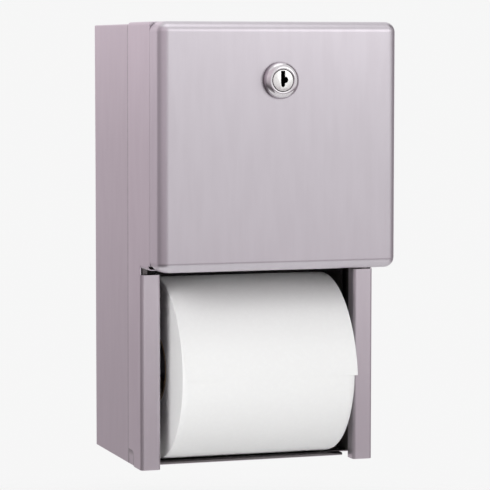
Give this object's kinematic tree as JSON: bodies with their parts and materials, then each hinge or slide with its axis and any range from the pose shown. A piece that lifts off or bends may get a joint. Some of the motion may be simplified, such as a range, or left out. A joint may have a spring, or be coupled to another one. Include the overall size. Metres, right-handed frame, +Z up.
{
  "type": "double roll toilet paper dispenser",
  "caption": "Surface-mounted steel toilet paper dispenser: lockable drop-down door over a reserve roll, open lower roll between folded columns, spindles in slotted guides.",
  "frame": {"origin": "centre of the rear box's flat back face, which lies against the wall", "axes": "+X to the right seen from the front, -Y towards the user, +Y into the wall, +Z up"},
  "size_m": [0.155, 0.1566, 0.28],
  "materials": {
    "satin_steel": "satin, grain running up and down",
    "inner_steel": "mill finish",
    "hinge_steel": "mill finish",
    "plated_steel": "zinc plated",
    "chrome": "polished",
    "plug_metal": "nickel plated",
    "spindle_abs": "moulded",
    "core_board": "raw kraft board",
    "paper": "soft embossed tissue"
  },
  "bodies": {
    "cabinet": {"rear_box": "satin_steel", "front_frame": "satin_steel", "cabinet_hinge_leaf": "hinge_steel", "hinge_pin": "hinge_steel", "lock_strike": "plated_steel", "left_guide": "inner_steel", "right_guide": "inner_steel", "left_latch_rivet": "inner_steel", "right_latch_rivet": "inner_steel"},
    "door": {"door": "satin_steel", "door_hinge_leaf": "hinge_steel", "lock_barrel": "chrome", "lock_nut": "plated_steel"},
    "lock_plug": {"lock_plug": "plug_metal", "lock_cam": "plated_steel", "cam_screw": "plated_steel"},
    "left_latch": {"left_drop_latch": "plated_steel"},
    "right_latch": {"right_drop_latch": "plated_steel"},
    "lower_spindle": {"lower_spindle": "spindle_abs"},
    "lower_roll": {"lower_core": "core_board", "lower_roll": "paper"},
    "reserve_spindle": {"reserve_spindle": "spindle_abs"},
    "reserve_roll": {"reserve_core": "core_board", "reserve_roll": "paper"}
  },
  "joints": [
    {"name": "door_hinge", "type": "hinge", "parent": "cabinet", "child": "door", "pos_m": [0, -0.13015, -0.0102], "axis": [1, 0, 0], "range_deg": [0, 95]},
    {"name": "lock_turn", "type": "hinge", "parent": "door", "child": "lock_plug", "pos_m": [0, -0.151, 0.104], "axis": [0, -1, 0], "range_deg": [0, 90]},
    {"name": "lower_spindle_lift", "type": "slide", "parent": "cabinet", "child": "lower_spindle", "axis": [0, 0, 1], "range_m": [0, 0.012]},
    {"name": "lower_roll_turn", "type": "hinge", "parent": "lower_spindle", "child": "lower_roll", "pos_m": [0, -0.075, -0.0803], "axis": [1, 0, 0], "continuous": true},
    {"name": "reserve_spindle_lift", "type": "slide", "parent": "cabinet", "child": "reserve_spindle", "axis": [0, 0, 1], "range_m": [0, 0.012]},
    {"name": "reserve_roll_turn", "type": "hinge", "parent": "reserve_spindle", "child": "reserve_roll", "pos_m": [0, -0.075, 0.0537], "axis": [1, 0, 0], "continuous": true},
    {"name": "left_latch_turn", "type": "hinge", "parent": "cabinet", "child": "left_latch", "pos_m": [-0.0736, -0.06, -0.0076], "axis": [-1, 0, 0], "range_deg": [0, 14]},
    {"name": "right_latch_turn", "type": "hinge", "parent": "cabinet", "child": "right_latch", "pos_m": [0.0736, -0.06, -0.0076], "axis": [-1, 0, 0], "range_deg": [0, 14]}
  ],
  "couplings": [
    {"joint": "left_latch_turn", "follows": "lower_spindle_lift", "rad_per_m": 20.36},
    {"joint": "right_latch_turn", "follows": "lower_spindle_lift", "rad_per_m": 20.36}
  ]
}
